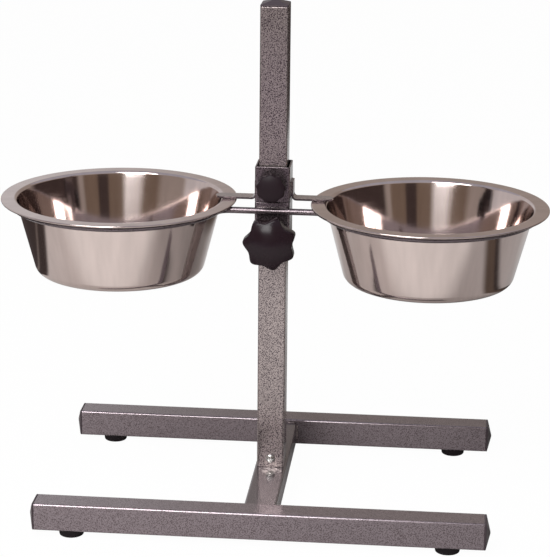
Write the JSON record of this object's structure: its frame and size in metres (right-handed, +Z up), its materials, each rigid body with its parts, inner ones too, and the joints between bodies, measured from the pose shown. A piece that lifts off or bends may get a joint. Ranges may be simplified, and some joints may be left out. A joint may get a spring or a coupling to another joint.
{
  "type": "adjustable pet bowl stand",
  "caption": "Height-adjustable pet bowl stand: H-shaped tube base, upright post, sliding wire ring frame with lift-out steel bowls and a hold-down clamp, each locked by a star knob.",
  "frame": {"origin": "on the floor below the post's axis, at the middle of the base", "axes": "+Z up along the post, +X to the right along the foot bars, -Y out of the front, where the knobs are"},
  "size_m": [0.512, 0.276, 0.4805],
  "materials": {
    "hammertone_paint": "hammertone grey",
    "stainless_steel": "polished",
    "knob_plastic": "satin",
    "cap_plastic": "satin",
    "foot_rubber": "matte",
    "zinc_plate": "zinc plated"
  },
  "bodies": {
    "base": {"front_foot_bar": "hammertone_paint", "rear_foot_bar": "hammertone_paint", "cross_bar": "hammertone_paint", "front_left_cap": "cap_plastic", "front_right_cap": "cap_plastic", "rear_left_cap": "cap_plastic", "rear_right_cap": "cap_plastic", "front_left_foot": "foot_rubber", "front_right_foot": "foot_rubber", "rear_left_foot": "foot_rubber", "rear_right_foot": "foot_rubber", "middle_foot": "foot_rubber", "foot_screws": "zinc_plate", "post_stub": "hammertone_paint", "post": "hammertone_paint", "post_cap": "cap_plastic", "post_screw": "zinc_plate"},
    "carriage": {"height_sleeve": "hammertone_paint", "height_nut": "hammertone_paint", "bowl_ring_frame": "hammertone_paint"},
    "height_screw": {"height_stud": "zinc_plate"},
    "height_handle": {"height_knob": "knob_plastic"},
    "hold_down": {"clamp_sleeve": "hammertone_paint", "clamp_nut": "hammertone_paint", "left_clamp_arm": "hammertone_paint", "right_clamp_arm": "hammertone_paint"},
    "clamp_screw": {"clamp_stud": "zinc_plate"},
    "clamp_handle": {"clamp_knob": "knob_plastic"},
    "left_dish": {"left_bowl": "stainless_steel"},
    "right_dish": {"right_bowl": "stainless_steel"}
  },
  "joints": [
    {"name": "height_adjust", "type": "slide", "parent": "base", "child": "carriage", "axis": [0, 0, 1], "range_m": [-0.19, 0.045]},
    {"name": "height_knob_turn", "type": "hinge", "parent": "height_screw", "child": "height_handle", "pos_m": [0, -0.035, 0.26], "axis": [0, -1, 0], "range_deg": [0, 720]},
    {"name": "height_screw_travel", "type": "slide", "parent": "carriage", "child": "height_screw", "axis": [0, -1, 0], "range_m": [0, 0.00251]},
    {"name": "hold_down_lift", "type": "slide", "parent": "carriage", "child": "hold_down", "axis": [0, 0, 1], "range_m": [0, 0.095]},
    {"name": "clamp_knob_turn", "type": "hinge", "parent": "clamp_screw", "child": "clamp_handle", "pos_m": [0, -0.03, 0.31055], "axis": [0, -1, 0], "range_deg": [0, 720]},
    {"name": "clamp_screw_travel", "type": "slide", "parent": "hold_down", "child": "clamp_screw", "axis": [0, -1, 0], "range_m": [0, 0.00201]},
    {"name": "left_bowl_lift", "type": "slide", "parent": "carriage", "child": "left_dish", "axis": [0, 0, 1], "range_m": [0, 0.0761]},
    {"name": "right_bowl_lift", "type": "slide", "parent": "carriage", "child": "right_dish", "axis": [0, 0, 1], "range_m": [0, 0.0761]}
  ],
  "couplings": [
    {"joint": "height_screw_travel", "follows": "height_knob_turn", "m_per_rad": 0.00019894},
    {"joint": "clamp_screw_travel", "follows": "clamp_knob_turn", "m_per_rad": 0.00015915},
    {"joint": "left_bowl_lift", "follows": "hold_down_lift", "ratio": 0.8},
    {"joint": "right_bowl_lift", "follows": "hold_down_lift", "ratio": 0.8}
  ]
}
